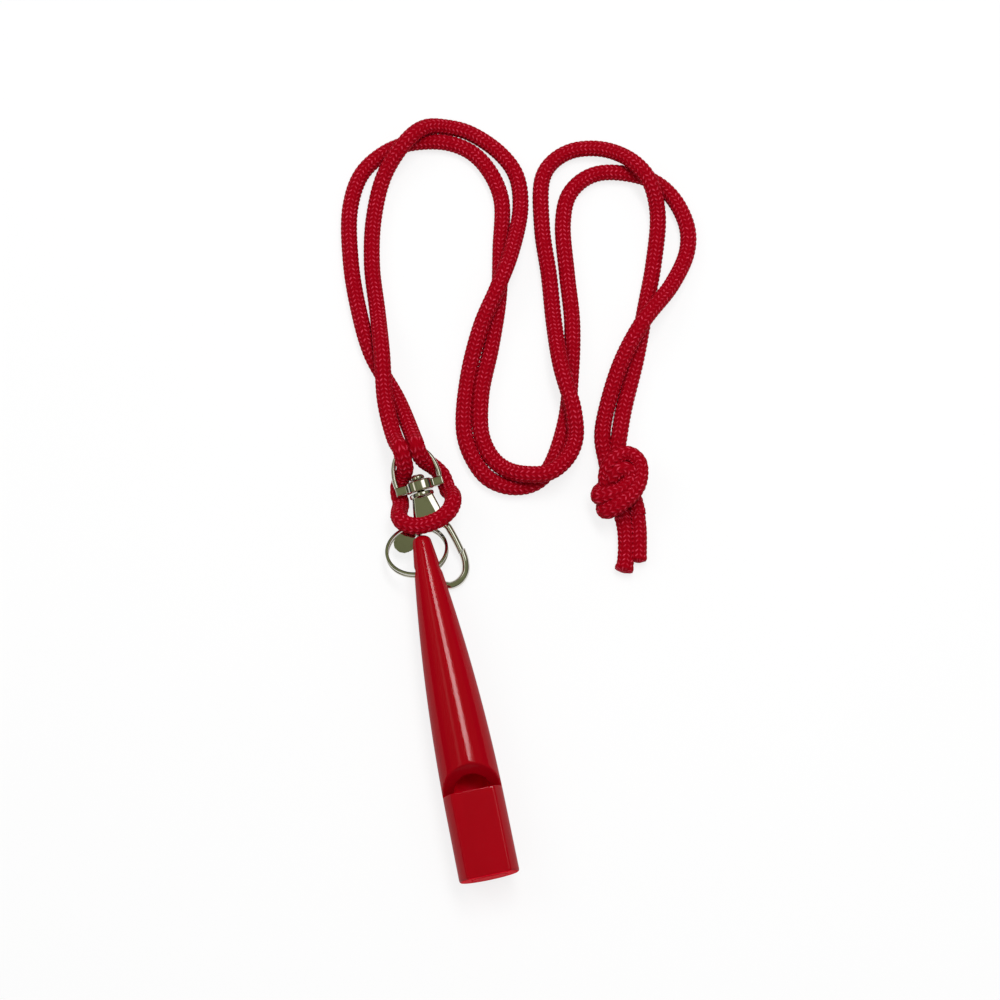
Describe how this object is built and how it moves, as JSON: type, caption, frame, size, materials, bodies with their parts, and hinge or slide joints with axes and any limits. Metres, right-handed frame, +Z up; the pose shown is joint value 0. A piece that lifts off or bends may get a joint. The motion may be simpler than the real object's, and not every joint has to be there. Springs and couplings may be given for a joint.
{
  "type": "dog whistle on a cord lanyard",
  "caption": "Tapered plastic pipe whistle with a cut window, hung by a split ring from a swivel trigger hook on a doubled braided cord that ends in an overhand knot.",
  "frame": {"origin": "on the surface that the part lies on, under the middle of the whistle, ring and hook taken together, the cord left out", "axes": "+Y along the whistle from its mouth towards its tail and the hook, +Z up out of the window, +X to the right seen from above"},
  "size_m": [0.0924, 0.1904, 0.0137],
  "materials": {
    "whistle_red": "polished red plastic",
    "nickel": "bright nickel plate",
    "spring_steel": "plain spring wire",
    "cord_red": "round braided synthetic cord"
  },
  "bodies": {
    "lanyard": {"swivel_eye": "nickel", "cord_strand_left": "cord_red", "cord_strand_right": "cord_red", "cord_knot": "cord_red", "cord_tail_left": "cord_red", "cord_tail_right": "cord_red"},
    "hook": {"hook_body": "nickel", "swivel_rivet": "nickel", "gate_pivot_pin": "nickel", "gate_spring": "spring_steel", "cord_hitch_loop": "cord_red"},
    "gate": {"gate_lever": "nickel"},
    "ring": {"split_ring": "nickel"},
    "whistle": {"whistle_body": "whistle_red", "fipple_plug": "whistle_red"}
  },
  "joints": [
    {"name": "swivel_turn", "type": "hinge", "parent": "lanyard", "child": "hook", "pos_m": [0.00169, 0.04069, 0.00465], "axis": [-0.0869, 0.983, 0.1616], "continuous": true},
    {"name": "gate_open", "type": "hinge", "parent": "hook", "child": "gate", "pos_m": [0.00355, 0.03332, 0.00342], "axis": [-0.0142, 0.161, -0.9869], "range_deg": [0, 12], "stiffness_Nm_per_rad": 0.02, "springref_deg": -5.73},
    {"name": "ring_turn", "type": "hinge", "parent": "hook", "child": "ring", "pos_m": [-0.00211, 0.02695, 0.00369], "axis": [0, 0.3938, 0.9192], "range_deg": [-45, 2]},
    {"name": "whistle_tilt", "type": "hinge", "parent": "ring", "child": "whistle", "pos_m": [-0.00051, 0.02119, 0.00616], "axis": [1, 0, 0], "range_deg": [0, 14]}
  ]
}
